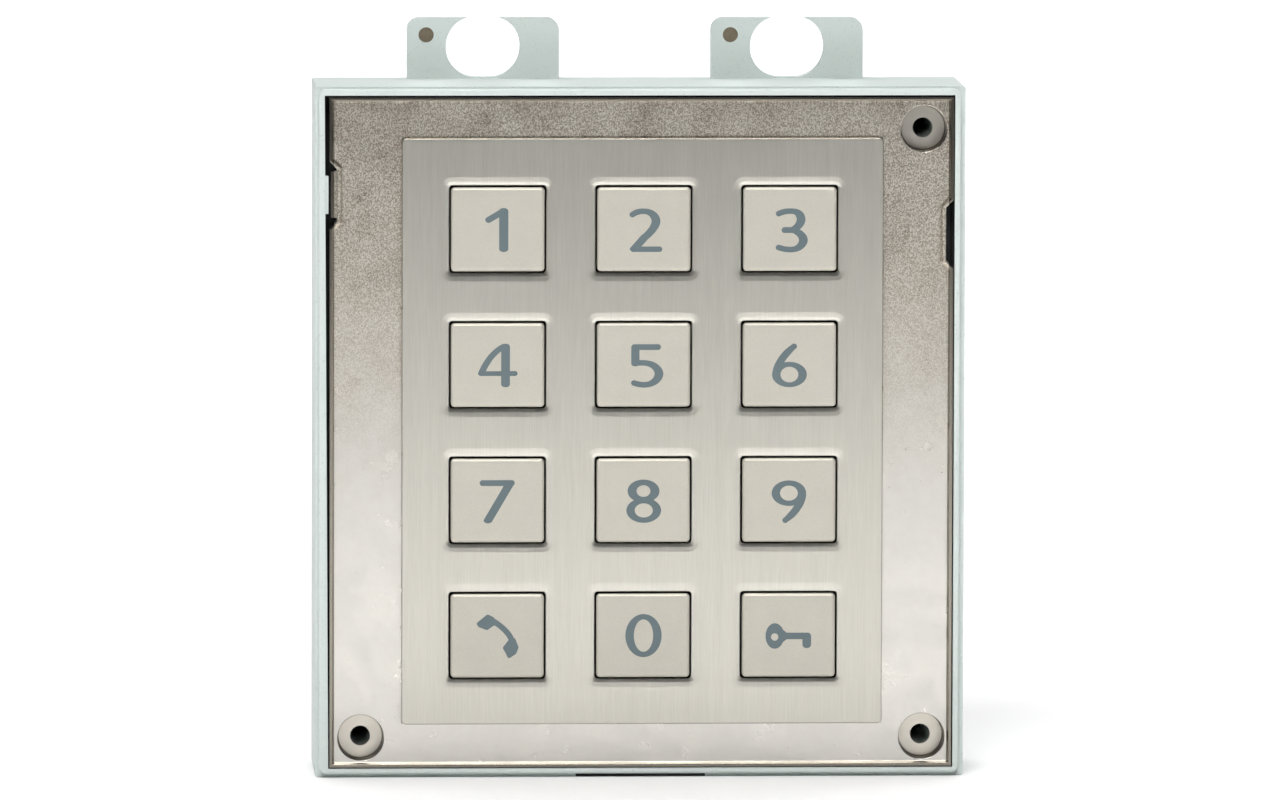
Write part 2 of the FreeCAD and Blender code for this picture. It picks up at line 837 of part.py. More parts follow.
def screws(name, positions, head_radius, head_low, seat, shaft_radius, tip):
    """Pan screws driven from the rear, with a hexagonal drive."""
    items = []
    for number, (x, z) in enumerate(positions):
        head = cylinder(f"{name}_head_{number}", head_radius, head_low, seat, x, z)
        shaft = cylinder(f"{name}_shaft_{number}", shaft_radius, seat, tip, x, z)
        whole = fused(f"{name}_blank_{number}", [head, shaft])
        drive = doc.addObject("Part::Prism", f"{name}_drive_{number}")
        drive.Polygon = 6
        bind(drive, "Circumradius", "drive_radius")
        bind(drive, "Height", "drive_sink")
        towards_front(drive, x, head_low, z)
        items.append(cut(f"{name}_{number}", whole, drive))
    return group(name, items)


# ---- silicone mat ----------------------------------------------------------------------------

def silicone_mat():
    """A sheet on the board with a hollow dome and a plunger under each key."""
    solids = [block("mat_sheet", "mat_width", "mat_height", "board_front", "mat_front",
                    "grid_x", "grid_z")]
    hollows = []
    for row in range(ROWS):
        for column in range(COLUMNS):
            x, z = key_position(column, row)
            tag = f"{row}_{column}"
            solids.append(cone(f"dome_{tag}", "dome_base", "dome_top", "mat_front",
                               "dome_depth", x, z))
            solids.append(block(f"plunger_{tag}", "plunger_width", "plunger_height",
                                "dome_depth", "plunger_depth", x, z))
            hollows.append(cone(f"dome_hollow_{tag}", "dome_hollow_base", "dome_hollow_top",
                                "board_front", "dome_hollow_depth", x, z))
    for number, (x, z) in enumerate(BOARD_POSTS):
        hollows.append(cylinder(f"mat_hole_{number}", "mat_hole", "board_front",
                                "mat_front", x, z))
    return cut("silicone_mat", fused("mat_solid", solids), fused("mat_hollows", hollows))


# ---- key legends -----------------------------------------------------------------------------
# A legend is drawn with an oval pen, in millimetres from the key's centre. The pen is given
# by its half width and half height, so upright strokes are broader than level ones.

PEN = (0.66, 0.42)
BROAD = (0.69, 0.44)
LEVEL = (0.44, 0.44)
THIN = (0.36, 0.36)
TIP = 0.44
TAPER = 1.3
SAMPLES = 5


def pen_edge(pen, direction):
    """The point of the oval pen that is furthest in a direction."""
    wide, high = pen
    x, z = direction
    size = math.hypot(wide * x, high * z)
    return Vector(wide * wide * x / size, high * high * z / size, 0)


def smooth_line(points):
    if len(points) == 2:
        return Part.LineSegment(*points).toShape()
    curve = Part.BSplineCurve()
    curve.interpolate(points)
    return curve.toShape()


def pen_cap(point, pen, tangent, side):
    """Half the pen's oval round one end of a stroke, from its left to its right."""
    turns = [math.radians(90 - 45 * step) for step in range(5)]
    angle = math.atan2(tangent.y, tangent.x) + (0 if side > 0 else math.pi)
    return [point + pen_edge(pen, (math.cos(angle + t), math.sin(angle + t))) for t in turns]


def stroke(pen, path, tips=""):
    """A face swept by the pen along the path; an end named in tips narrows."""
    points = [Vector(x, z, 0) for x, z in path]
    if len(points) == 2:
        middle = Part.LineSegment(*points)
        count = 2
    else:
        middle = Part.BSplineCurve()
        middle.interpolate(points)
        count = SAMPLES * (len(points) - 1) + 1
    first, last = middle.FirstParameter, middle.LastParameter
    length = middle.length()
    lefts, rights, pens = [], [], []
    for number in range(count):
        at = first + (last - first) * number / (count - 1)
        point = middle.value(at)
        tangent = middle.tangent(at)[0]
        travelled = middle.length(first, at) if number else 0.0
        share = 1.0
        if "start" in tips:
            share = min(share, travelled / TAPER)
        if "end" in tips:
            share = min(share, (length - travelled) / TAPER)
        eased = share * share * (3 - 2 * share)
        width = TIP + (pen[0] - TIP) * eased
        here = (width, pen[1])
        pens.append(here)
        offset = pen_edge(here, (-tangent.y, tangent.x))
        lefts.append(point + offset)
        rights.append(point - offset)
    start_tangent = middle.tangent(first)[0]
    end_tangent = middle.tangent(last)[0]
    end_cap = pen_cap(middle.value(last), pens[-1], end_tangent, 1)
    start_cap = pen_cap(middle.value(first), pens[0], start_tangent, -1)
    edges = [
        smooth_line(lefts),
        smooth_line([lefts[-1]] + end_cap[1:-1] + [rights[-1]]),
        smooth_line(rights[::-1]),
        smooth_line([rights[0]] + start_cap[1:-1] + [lefts[0]]),
    ]
    return Part.Face(Part.Wire(edges))


def oval(x, z, wide, high):
    """A filled oval with the given half width and half height."""
    centre = Vector(x, z, 0)
    across = centre + Vector(wide, 0, 0)
    upward = centre + Vector(0, high, 0)
    ends = (across, upward) if wide >= high else (upward, across)
    return Part.Face(Part.Wire(Part.Ellipse(*ends, centre).toShape()))


def ring(x, z, wide, high, pen):
    """The pen drawn once round an oval."""
    outer = oval(x, z, wide + pen[0], high + pen[1])
    return outer.cut(oval(x, z, wide - pen[0], high - pen[1]))


def blob(corners, radius):
    """A polygon grown by a radius, so that its corners are round."""
    points = [Vector(x, z, 0) for x, z in corners]
    return Part.Face(Part.makePolygon(points + points[:1])).makeOffset2D(radius)


def legend_faces():
    """The faces that make up each legend, by key name."""
    return {
        "1": [
            stroke(BROAD, [(0.87, 2.8), (0.87, -2.93)]),
            stroke((0.5, 0.46), [(-1.4, 1.46), (0.85, 2.76)]),
        ],
        "2": [
            stroke(PEN, [(-1.75, 2.22), (-1.0, 2.6), (0.0, 2.73), (1.15, 2.38), (1.78, 1.35),
                         (1.35, 0.12), (0.1, -1.17)], "start"),
            stroke(PEN, [(0.1, -1.17), (-1.47, -2.95)]),
            stroke((0.42, 0.41), [(-1.6, -2.98), (2.33, -2.98)]),
        ],
        "3": [
            stroke(PEN, [(-1.7, 2.34), (-0.9, 2.62), (0.15, 2.72), (1.25, 2.42), (1.66, 1.5),
                         (1.25, 0.5), (0.2, -0.1)], "start"),
            stroke((0.44, 0.44), [(-0.82, -0.13), (0.2, -0.13)]),
            stroke(PEN, [(0.1, -0.13), (1.3, -0.52), (2.02, -1.6), (1.4, -2.7), (0.15, -3.07),
                         (-0.9, -2.97), (-1.7, -2.75)], "end"),
        ],
        "4": [
            stroke((0.66, 0.42), [(1.18, 2.83), (1.18, -2.88)]),
            stroke((0.5, 0.4), [(0.9, 2.82), (-0.32, 1.98), (-1.25, 0.95), (-2.02, -0.3),
                                (-2.46, -1.22)]),
            stroke(THIN, [(-2.5, -1.24), (2.62, -1.24)]),
        ],
        "5": [
            stroke(LEVEL, [(-1.4, 2.7), (2.15, 2.7)]),
            stroke((0.62, 0.42), [(-1.25, 2.72), (-1.25, 0.22)]),
            stroke(PEN, [(-1.1, 0.28), (0.15, 0.32), (1.55, -0.12), (2.3, -1.25), (1.65, -2.48),
                         (0.3, -2.97), (-0.7, -2.9), (-1.45, -2.7)], "end"),
        ],
        "6": [
            ring(0.0, -1.47, 1.98, 1.54, (0.64, 0.37)),
            stroke((0.62, 0.42), [(0.68, 2.78), (-0.35, 1.85), (-1.18, 0.78), (-1.75, -0.35),
                                  (-1.98, -1.47)], "start"),
        ],
        "7": [
            stroke(LEVEL, [(-2.25, 2.67), (2.15, 2.67)]),
            stroke((0.66, 0.42), [(1.9, 2.68), (-1.42, -2.98)]),
        ],
        "8": [
            ring(0.03, 1.42, 1.72, 1.3, (0.68, 0.43)),
            ring(0.07, -1.5, 1.98, 1.47, (0.63, 0.41)),
        ],
        "9": [
            ring(-0.02, 1.05, 1.97, 1.53, (0.63, 0.4)),
            stroke((0.62, 0.42), [(1.95, 1.05), (1.82, 0.0), (1.3, -1.07), (0.45, -2.15),
                                  (-0.55, -3.04)], "end"),
        ],
        "0": [ring(0.08, 0.0, 2.09, 2.85, (0.64, 0.41))],
        "handset": [
            blob([(-2.78, 1.85), (-1.45, 2.93), (-0.75, 2.6), (-0.45, 1.85), (-0.75, 1.77),
                  (-1.55, 1.2), (-2.6, 1.6)], 0.3),
            blob([(2.45, -0.6), (2.9, -1.72), (2.6, -2.5), (1.8, -3.05), (1.55, -2.5),
                  (1.15, -1.8), (1.85, -0.9)], 0.3),
            stroke((0.43, 0.43), [(-0.85, 2.4), (0.0, 1.85), (1.3, 0.72), (1.97, -0.2),
                                  (2.25, -1.1)]),
        ],
        "key": [
            oval(-2.06, -0.12, 1.4, 1.93).cut(oval(-2.08, -0.27, 0.55, 0.55)),
            blob([(-1.0, 0.55), (-0.4, 0.1), (-0.4, -0.34), (-1.0, -0.8)], 0.3),
            stroke((0.5, 0.5), [(-1.0, -0.12), (2.9, -0.12)]),
            stroke((0.66, 0.5), [(2.75, -0.15), (2.75, -1.47)]),
        ],
    }


def legend_solid(name, faces, front):
    """The legend's solid at the centre of a key, from its back to the given depth."""
    thickness = value(f"{front} - legend_back")
    solids = [face.extrude(Vector(0, 0, thickness)) for face in faces]
    shape = solids[0]
    if len(solids) > 1:
        shape = shape.fuse(solids[1:]).removeSplitter()
    shape.rotate(Vector(), Vector(1, 0, 0), 90)
    shape.translate(Vector(0, -value("legend_back"), 0))
    item = doc.addObject("Part::Feature", name)
    item.Shape = shape
    return item


# ---- keys ------------------------------------------------------------------------------------

def key_blank():
    """A hollow cap with a rounded front and a flange that holds it behind the plate."""
    body = new_body("key_blank")
    sketch = front_sketch(body, "cap_flange", "cap_back")
    centred_rectangle(sketch, "flange_width", "flange_height", "soft_corner")
    pad(body, sketch, "flange_front - cap_back")
    sketch = front_sketch(body, "cap_block", "flange_front")
    centred_rectangle(sketch, "cap_width", "cap_height", "cap_corner")
    head = pad(body, sketch, "cap_front - flange_front")
    front = value("cap_front")
    rounded = dress("Fillet", body, head, lambda box: lies_at(box, front), "Radius",
                    "cap_round")
    body.Tip = rounded
    sketch = front_sketch(body, "cap_hollow", "cap_hollow_depth")
    centred_rectangle(sketch, "cap_hollow_width", "cap_hollow_height", "tight_corner")
    pocket(body, sketch, "cap_hollow_depth - cap_back")
    return body


KEY_NAMES = ["1", "2", "3", "4", "5", "6", "7", "8", "9", "handset", "0", "key"]


def keys():
    """Each key is a cap with a recess in its face and the legend that fills it."""
    blank = key_blank()
    faces = legend_faces()
    parts = []
    for number, name in enumerate(KEY_NAMES):
        row, column = divmod(number, COLUMNS)
        x, z = key_position(column, row)
        title = "symbol" if name == "key" else name
        recess = legend_solid(f"recess_{title}", faces[name], "cap_front")
        filling = legend_solid(f"filling_{title}", faces[name], "legend_front")
        cap = cut(f"key_{title}_cap", blank, recess)
        legend = group(f"key_{title}_legend", [filling])
        for part in (cap, legend):
            place(part, x, "0", z)
            parts.append(part)
    return parts


# ---- small pieces of the case ----------------------------------------------------------------

def screw_seals():
    """Thin discs that close the rear ends of the through holes until a screw pierces them."""
    seals = []
    for number, (x, z) in enumerate(THROUGH_SCREWS, start=1):
        seals.append(cylinder(f"seal_{number}", "seal_radius", "0", "seal_thickness", x, z))
    return group("screw_seals", seals)


def ear_pins():
    pins = []
    for side, name in ((-1, "left"), (1, "right")):
        pins.append(cylinder(
            f"{name}_ear_pin",
            "ear_pin_radius",
            "0",
            "ear_thickness - ear_pin_recess",
            f"{side} * ear_pitch / 2 - ear_pin_left",
            "ear_pin_height",
        ))
    return group("ear_pins", pins)


def bottom_strip():
    strip = block("bottom_strip", "strip_width", "strip_height", "case_depth - strip_length",
                  "case_depth", "strip_shift", "(strip_height / 2 - case_height / 2)")
    strip.Label = "bottom_strip"
    return strip


def build():
    parts = [rear_case(), front_plate(), perimeter_gasket(), circuit_board(), silicone_mat()]
    parts += board_parts()
    parts += bus_sockets()
    parts.append(screws("board_screws", BOARD_POSTS, "board_screw_head",
                        "board_back - board_screw_rise", "board_back", "board_screw_shaft",
                        "board_screw_tip"))
    parts.append(screws("case_screws", CASE_SCREWS, "case_screw_head", "case_screw_seat - case_screw_rise",
                        "case_screw_seat", "case_screw_shaft", "case_screw_tip"))
    parts += keys()
    parts += [screw_seals(), ear_pins(), bottom_strip()]
    return parts


def check(parts):
    """Stop if any object failed, or any solid object is invalid, or any sub-part is empty."""
    for item in doc.Objects:
        if "Invalid" in item.State or "Error" in item.State:
            raise RuntimeError(f"{item.Name} failed: {item.State}")
    for part in parts:
        shape = part.Shape
        if shape.isNull() or not shape.isValid() or shape.Volume <= 0:
            raise RuntimeError(f"{part.Label} has no valid shape")


PARTS = build()
doc.recompute()
check(PARTS)
os.makedirs("parts", exist_ok=True)
for part in PARTS:
    part.Shape.exportStep(f"parts/{part.Label}.step")
    box = part.Shape.BoundBox
    print(f"{part.Label:22s} solids {len(part.Shape.Solids):2d}  volume {part.Shape.Volume:10.2f}"
          f"  {box.XLength:6.2f} x {box.YLength:6.2f} x {box.ZLength:6.2f}")
print(len(PARTS), "sub-parts")
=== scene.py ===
import math
import bmesh
import bpy
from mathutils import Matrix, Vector


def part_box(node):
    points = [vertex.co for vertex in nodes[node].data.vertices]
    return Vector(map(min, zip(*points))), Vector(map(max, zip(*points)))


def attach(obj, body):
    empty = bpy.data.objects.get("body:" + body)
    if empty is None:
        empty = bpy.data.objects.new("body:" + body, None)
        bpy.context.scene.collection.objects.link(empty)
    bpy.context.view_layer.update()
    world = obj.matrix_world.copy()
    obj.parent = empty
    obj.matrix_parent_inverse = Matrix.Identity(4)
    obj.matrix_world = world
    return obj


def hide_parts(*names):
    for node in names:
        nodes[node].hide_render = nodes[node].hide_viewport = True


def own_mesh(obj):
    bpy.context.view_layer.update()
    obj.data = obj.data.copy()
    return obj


# Looks of the keypad access reader. Metres, +Z up, the keys face -Y. The CAD bodies keep their
# shapes; this script gives each of them a procedural material and sets up the studio.

MM = 0.001
# zones of the front, each (centre x, centre z, half width, half height) in mm
PANEL = (0.25, 0.22, 36.0, 44.0)
# a thin ring just round the panel, painted darker as the shade in the corner at its base
PANEL_FOOT = (0.25, 0.22, 36.15, 44.15)
RECESS = (0.13, 0.0, 46.1, 49.75)
TRAY = (-0.1, 0.1, 47.4, 50.8)
# the corner screws' seats, in mm
SCREWS = ((42.48, 45.65), (-41.97, -46.0), (42.48, -46.0))
SEAT_RADIUS = 3.5
SEAT_FLOOR_RADIUS = 3.25
# places along y: the key openings' walls and the caps' sides are painted near-black behind the first
# two, as painted shade in the gaps round the keys, and the groove round the plate is painted black
# between the last two, as painted shade in the gap round the plate
OPENING_WALLS = -22.36 * MM
CAP_SIDES = -22.62 * MM
GROOVE_FRONT = -21.4 * MM
GROOVE_BACK = -18.0 * MM
# heights where the top edge starts, painted near-black there as shade, and where the casting turns
# from smooth to coarse and turns darker and browner upward, a painted reflection of the dark
# surroundings
TOP_EDGE = 50.32 * MM
SMOOTH_BELOW = -12.0 * MM
PALE_BELOW = -15.0 * MM
COARSE_ABOVE = 40.0 * MM
# near-black that paints shade on the plate's top edge and inside the key openings
PAINTED_SHADE_METAL = (0.02, 0.019, 0.017)
# dark metal painted on the rim as the shade its slopes show
SHADED_RIM_METAL = (0.24, 0.22, 0.185)

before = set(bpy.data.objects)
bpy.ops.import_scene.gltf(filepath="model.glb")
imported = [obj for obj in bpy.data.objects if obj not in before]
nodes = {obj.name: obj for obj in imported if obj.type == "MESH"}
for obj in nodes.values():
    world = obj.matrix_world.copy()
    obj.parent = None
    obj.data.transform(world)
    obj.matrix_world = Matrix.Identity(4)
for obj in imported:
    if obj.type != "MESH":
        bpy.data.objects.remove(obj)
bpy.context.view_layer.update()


# ---- materials: a small vocabulary for node trees ----------------------------------------------

class Surface:
    """One Principled material whose inputs are fed by short chains of nodes."""

    def __init__(self, name, **constants):
        self.material = bpy.data.materials.new(name)
        self.material.use_nodes = True
        self.tree = self.material.node_tree
        self.shader = self.tree.nodes["Principled BSDF"]
        for socket, value in constants.items():
            self.shader.inputs[socket.replace("_", " ")].default_value = value
        self.place = self.tree.nodes.new("ShaderNodeTexCoord").outputs["Object"]
        self.axes = self.node("ShaderNodeSeparateXYZ", Vector=self.place).outputs

    def node(self, kind, settings=None, **inputs):
        """A node with its settings, and each input either linked or set."""
        made = self.tree.nodes.new(kind)
        for key, value in (settings or {}).items():
            setattr(made, key, value)
        for key, value in inputs.items():
            self.feed(made.inputs[key.replace("_", " ")], value)
        return made

    def feed(self, socket, value):
        if isinstance(value, bpy.types.NodeSocket):
            self.tree.links.new(value, socket)
        else:
            socket.default_value = value

    def math(self, operation, first, second=0.0):
        made = self.tree.nodes.new("ShaderNodeMath")
        made.operation = operation
        self.feed(made.inputs[0], first)
        self.feed(made.inputs[1], second)
        return made.outputs[0]

    def stretched(self, x, y, z):
        """The object's own coordinates, in metres, times a factor along each axis."""
        made = self.node("ShaderNodeMapping", Vector=self.place)
        made.inputs["Scale"].default_value = (x, y, z)
        return made.outputs[0]

    def noise(self, scale, detail=2.0, roughness=0.5, vector=None):
        made = self.node("ShaderNodeTexNoise", Vector=vector or self.place, Scale=scale,
                         Detail=detail, Roughness=roughness)
        return made.outputs["Fac"]

    def cells(self, scale):
        """The distance to the nearest of many scattered points."""
        made = self.node("ShaderNodeTexVoronoi", Vector=self.place, Scale=scale)
        return made.outputs["Distance"]

    def between(self, value, low, high, to_low=0.0, to_high=1.0):
        """Map low..high to to_low..to_high, held at the ends and eased between them."""
        made = self.node("ShaderNodeMapRange", {"interpolation_type": "SMOOTHSTEP"}, Value=value)
        for key, number in (("From Min", low), ("From Max", high), ("To Min", to_low),
                            ("To Max", to_high)):
            made.inputs[key].default_value = number
        return made.outputs["Result"]

    def blend(self, factor, first, second):
        """Mix two colours."""
        made = self.node("ShaderNodeMix", {"data_type": "RGBA"})
        for index, value in ((0, factor), (6, first), (7, second)):
            if isinstance(value, tuple):
                value = (*value, 1.0)
            self.feed(made.inputs[index], value)
        return made.outputs[2]

    def bump(self, height, distance):
        made = self.node("ShaderNodeBump", Height=height, Distance=distance, Strength=1.0)
        return made.outputs["Normal"]

    def mix(self, factor, first, second):
        """Mix two numbers."""
        made = self.node("ShaderNodeMix", {"data_type": "FLOAT"})
        for index, value in ((0, factor), (2, first), (3, second)):
            self.feed(made.inputs[index], value)
        return made.outputs[0]

    def sideways(self):
        """Tangents that run across the front faces, so that vertical brushing spreads light."""
        return self.node("ShaderNodeTangent", {"direction_type": "RADIAL",
                                               "axis": "Z"}).outputs["Tangent"]

    def inside_box(self, across, upward, box):
        """1 inside a rectangle of (centre x, centre z, half width, half height), in mm."""
        x, z, half_width, half_height = (number * MM for number in box)
        aside = self.math("ABSOLUTE", self.math("SUBTRACT", across, x))
        away = self.math("ABSOLUTE", self.math("SUBTRACT", upward, z))
        in_width = self.math("LESS_THAN", aside, half_width)
        in_height = self.math("LESS_THAN", away, half_height)
        return self.math("MULTIPLY", in_width, in_height)

    def nearest(self, across, upward, centres):
        """The distance to the nearest of the centres, given in mm."""
        least = None
        for x, z in centres:
            sideways = self.math("POWER", self.math("SUBTRACT", across, x * MM), 2.0)
            height = self.math("POWER", self.math("SUBTRACT", upward, z * MM), 2.0)
            distance = self.math("SQRT", self.math("ADD", sideways, height))
            least = distance if least is None else self.math("MINIMUM", least, distance)
        return least

    def near_any(self, across, upward, centres, radius):
        return self.math("LESS_THAN", self.nearest(across, upward, centres), radius * MM)

    def rings(self, across, upward, centres, marks_per_metre=5200.0):
        """Fine tool marks that run round each centre."""
        distance = self.nearest(across, upward, centres)
        spread = self.math("MULTIPLY", distance, marks_per_metre)
        return self.noise(1.0, 2.0, 0.6, self.node("ShaderNodeCombineXYZ", X=spread).outputs[0])

    def colour(self, value):
        self.feed(self.shader.inputs["Base Color"], value)

    def roughness(self, value):
        self.feed(self.shader.inputs["Roughness"], value)

    def normal(self, value):
        self.feed(self.shader.inputs["Normal"], value)


def moulded(name, dark, light, rough=0.5, grain=9000.0):
    """Moulded plastic or rubber: faint clouding and a fine spark-eroded grain."""
    surface = Surface(name)
    cloud = surface.noise(60.0, 4.0)
    surface.colour(surface.blend(cloud, dark, light))
    grit = surface.noise(grain, 3.0)
    surface.roughness(surface.between(grit, 0.3, 0.7, rough - 0.06, rough + 0.06))
    surface.normal(surface.bump(grit, 0.004 * MM))
    return surface.material


def plated(name, dark, light, rough):
    """A small metal part with a slightly uneven plated surface."""
    surface = Surface(name, Metallic=1.0)
    cloud = surface.noise(700.0, 4.0)
    surface.colour(surface.blend(cloud, dark, light))
    grit = surface.noise(5000.0, 3.0)
    surface.roughness(surface.between(grit, 0.3, 0.7, rough - 0.08, rough + 0.08))
    surface.normal(surface.bump(grit, 0.002 * MM))
    return surface.material


def plate_metal():
    """The plated casting: brushed panel, coarse border, smooth rim, turned screw seats. Painted
    shade darkens the rim, the top edge, a ring round the panel's base, the seat edges and the
    insides of the key openings; a painted reflection makes the border darker and browner towards the
    top.
    """
    surface = Surface("plate_metal", Metallic=1.0, Anisotropic=0.6)
    across, along, upward = surface.axes
    panel = surface.inside_box(across, upward, PANEL)
    panel_foot_shade = surface.inside_box(across, upward, PANEL_FOOT)
    recess = surface.inside_box(across, upward, RECESS)
    seats = surface.near_any(across, upward, SCREWS, SEAT_RADIUS)
    seat_floors = surface.near_any(across, upward, SCREWS, SEAT_FLOOR_RADIUS)
    seat_edge_shade = surface.math("SUBTRACT", seats, seat_floors)
    # painted shade: the insides of the key openings, behind the panel's face, are near-black
    behind = surface.math("GREATER_THAN", along, OPENING_WALLS)
    opening_wall_shade = surface.math("MULTIPLY", panel, behind)
    top_edge_shade = surface.math("GREATER_THAN", upward, TOP_EDGE)

    hairs = surface.noise(1.0, 3.0, 0.6, surface.stretched(9000.0, 2000.0, 160.0))
    bands = surface.noise(1.0, 2.0, 0.5, surface.stretched(900.0, 200.0, 12.0))
    peel = surface.noise(4800.0, 3.0, 0.6)
    streak = surface.noise(1.0, 2.0, 0.5, surface.stretched(6500.0, 1200.0, 4600.0))
    peel_and_streak = surface.math("ADD", peel, streak)
    swell = surface.noise(260.0, 4.0, 0.6)
    swell_eased = surface.between(swell, 0.3, 0.7)
    speckle = surface.between(peel_and_streak, 0.86, 1.14)
    pits = surface.between(surface.cells(420.0), 0.015, 0.04)
    turned = surface.rings(across, upward, SCREWS)

    brushed = surface.blend(bands, (0.60, 0.58, 0.52), (0.66, 0.64, 0.575))
    scratched = surface.blend(0.14, brushed, (0.2, 0.19, 0.16))
    brushed = surface.blend(surface.between(hairs, 0.3, 0.7), scratched, brushed)

    # painted reflection: the casting is darker and browner towards the top, standing in for the dark
    # brownish surroundings it reflects
    reflected_brown = surface.between(upward, PALE_BELOW, COARSE_ABOVE)
    thin = surface.blend(reflected_brown, (0.635, 0.612, 0.568), (0.58, 0.50, 0.385))
    thick = surface.blend(reflected_brown, (0.675, 0.655, 0.615), (0.68, 0.62, 0.51))
    smooth = surface.blend(swell_eased, thin, thick)
    coarse = surface.between(upward, SMOOTH_BELOW, COARSE_ABOVE, 0.0, 0.58)
    grain = surface.blend(coarse, smooth, (0.22, 0.18, 0.14))
    shine = surface.blend(surface.math("MULTIPLY", coarse, 0.8), smooth, (1.0, 0.98, 0.94))
    cast = surface.blend(speckle, grain, shine)
    cast = surface.blend(pits, (0.36, 0.31, 0.26), cast)

    # painted shade: the rim outside the recess is dark
    colour = surface.blend(recess, SHADED_RIM_METAL, cast)
    # painted shade in the corner round the panel's base
    colour = surface.blend(surface.math("MULTIPLY", panel_foot_shade, 0.45), colour, (0.1, 0.09, 0.075))
    colour = surface.blend(seats, colour, (0.66, 0.62, 0.55))
    # painted shade: a dark ring round the edge of each screw seat
    shade = surface.math("MULTIPLY", seat_edge_shade, 0.75)
    colour = surface.blend(shade, colour, (0.09, 0.075, 0.06))
    # painted shade: the plate's top edge is near-black
    colour = surface.blend(top_edge_shade, colour, PAINTED_SHADE_METAL)
    colour = surface.blend(panel, colour, brushed)
    surface.colour(surface.blend(opening_wall_shade, colour, PAINTED_SHADE_METAL))

    rough = surface.mix(recess, 0.2, surface.between(swell, 0.3, 0.7, 0.27, 0.37))
    rough = surface.mix(seats, rough, surface.between(turned, 0.0, 1.0, 0.28, 0.4))
    rough = surface.mix(panel, rough, surface.between(hairs, 0.25, 0.75, 0.31, 0.42))
    surface.roughness(surface.mix(opening_wall_shade, rough, 0.9))

    relief = surface.between(upward, SMOOTH_BELOW, COARSE_ABOVE, 0.7, 2.2)
    orange_peel = surface.math("MULTIPLY", peel_and_streak, relief)
    height = surface.mix(recess, surface.math("MULTIPLY", swell, 2.0), orange_peel)
    height = surface.mix(seats, height, surface.math("MULTIPLY", turned, 0.5))
    height = surface.mix(panel, height, hairs)
    surface.normal(surface.bump(height, 0.006 * MM))
    surface.feed(surface.shader.inputs["Tangent"], surface.sideways())
    return surface.material


def case_plastic():
    """Pale grey-green moulded plastic, painted black in the groove round the plate as the shade in
    that gap.
    """
    surface = Surface("case_plastic")
    across, along, upward = surface.axes
    cloud = surface.noise(60.0, 4.0)
    plain = surface.blend(cloud, (0.60, 0.665, 0.64), (0.66, 0.715, 0.695))
    specks = surface.between(surface.noise(2600.0, 3.0), 0.3, 0.42)
    plain = surface.blend(specks, surface.blend(0.3, plain, (0.4, 0.44, 0.43)), plain)
    behind = surface.math("GREATER_THAN", along, GROOVE_FRONT)
    before = surface.math("LESS_THAN", along, GROOVE_BACK)
    depth = surface.math("MULTIPLY", behind, before)
    # painted shade: the groove between the tray and the plate is black
    groove = surface.math("MULTIPLY", surface.inside_box(across, upward, TRAY), depth)
    surface.colour(surface.blend(groove, plain, (0.012, 0.012, 0.012)))
    grit = surface.noise(7000.0, 3.0)
    rough = surface.between(grit, 0.3, 0.7, 0.42, 0.54)
    surface.roughness(surface.mix(groove, rough, 0.85))
    surface.normal(surface.bump(grit, 0.004 * MM))
    return surface.material


def key_metal():
    """Satin metallic caps with a very fine grain; behind the panel's face they are painted
    near-black, as painted shade in the gap round each cap.
    """
    surface = Surface("key_metal", Metallic=0.45)
    along = surface.axes[1]
    cloud = surface.noise(260.0, 3.0)
    speck = surface.between(surface.noise(5200.0, 2.0), 0.35, 0.7)
    face = surface.blend(cloud, (0.57, 0.545, 0.475), (0.625, 0.595, 0.52))
    face = surface.blend(speck, surface.blend(0.12, face, (0.3, 0.28, 0.24)), face)
    # painted shade: the caps are near-black behind the panel's face, in the gap round each cap
    cap_side_shade = surface.math("GREATER_THAN", along, CAP_SIDES)
    surface.colour(surface.blend(cap_side_shade, face, (0.03, 0.029, 0.026)))
    grit = surface.noise(9000.0, 2.0)
    surface.roughness(surface.between(grit, 0.3, 0.7, 0.40, 0.52))
    surface.normal(surface.bump(grit, 0.003 * MM))
    return surface.material


